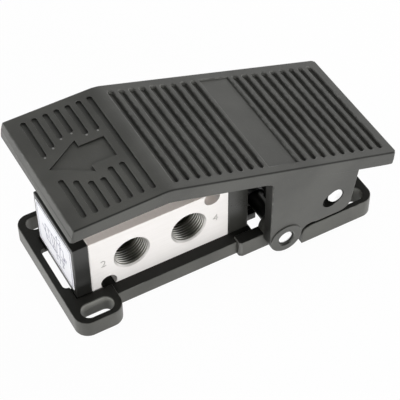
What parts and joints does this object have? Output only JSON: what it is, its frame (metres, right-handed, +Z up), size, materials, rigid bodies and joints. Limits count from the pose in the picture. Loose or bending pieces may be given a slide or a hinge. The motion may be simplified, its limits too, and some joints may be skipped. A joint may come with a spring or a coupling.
{
  "type": "foot pedal air valve",
  "caption": "Foot pedal air valve: a hinged treadle on a cast base pushes the spool of a ported aluminium valve block and springs back when let go.",
  "frame": {"origin": "centre of the four base slots, on the floor under the base", "axes": "+X towards the heel end, +Y towards the supply and exhaust side, +Z up"},
  "size_m": [0.1257, 0.0558, 0.0562],
  "materials": {
    "black_casting": "black stoved paint on a light alloy casting",
    "pedal_casting": "black stoved paint on a light alloy casting",
    "bare_alloy": "bare, finely brushed",
    "black_cap": "moulded, satin",
    "dark_cap": "moulded, satin",
    "black_rubber": "moulded",
    "zinc_screw": "zinc plated",
    "spool_alloy": "turned",
    "spring_wire": "drawn wire",
    "bush_brass": "turned",
    "pin_steel": "ground and bright"
  },
  "bodies": {
    "base_group": {"base": "black_casting", "valve_body": "bare_alloy", "spring_end_cap": "black_cap", "actuator_end_cap": "dark_cap", "spring_cap_seal": "black_rubber", "actuator_cap_seal": "black_rubber", "spring_cap_screws": "zinc_screw", "actuator_cap_screws": "zinc_screw", "body_screws": "zinc_screw", "spool_spring": "spring_wire", "plunger_bush": "bush_brass", "plunger_seal": "black_rubber", "hinge_pin": "pin_steel", "return_springs": "spring_wire"},
    "pedal_group": {"pedal": "pedal_casting", "cross_pin": "pin_steel", "roller_pin": "pin_steel", "return_spring_arms": "spring_wire"},
    "spool_group": {"spool": "spool_alloy", "spool_seals": "black_rubber", "plunger": "pin_steel", "spring_cup": "bush_brass"},
    "roller_group": {"striker_roller": "pin_steel"}
  },
  "joints": [
    {"name": "pedal_hinge", "type": "hinge", "parent": "base_group", "child": "pedal_group", "pos_m": [0.0215, 0, 0.0066], "axis": [0, -1, 0], "range_deg": [0, 12], "stiffness_Nm_per_rad": 2, "springref_deg": -11.46},
    {"name": "spool_slide", "type": "slide", "parent": "base_group", "child": "spool_group", "axis": [-1, 0, 0], "range_m": [0, 0.0025], "deforming": ["spool_spring"]},
    {"name": "roller_spin", "type": "hinge", "parent": "pedal_group", "child": "roller_group", "pos_m": [0.022, 0, 0.0185], "axis": [0, 1, 0], "continuous": true}
  ],
  "couplings": [
    {"joint": "spool_slide", "follows": "pedal_hinge", "m_per_rad": 0.011698}
  ]
}
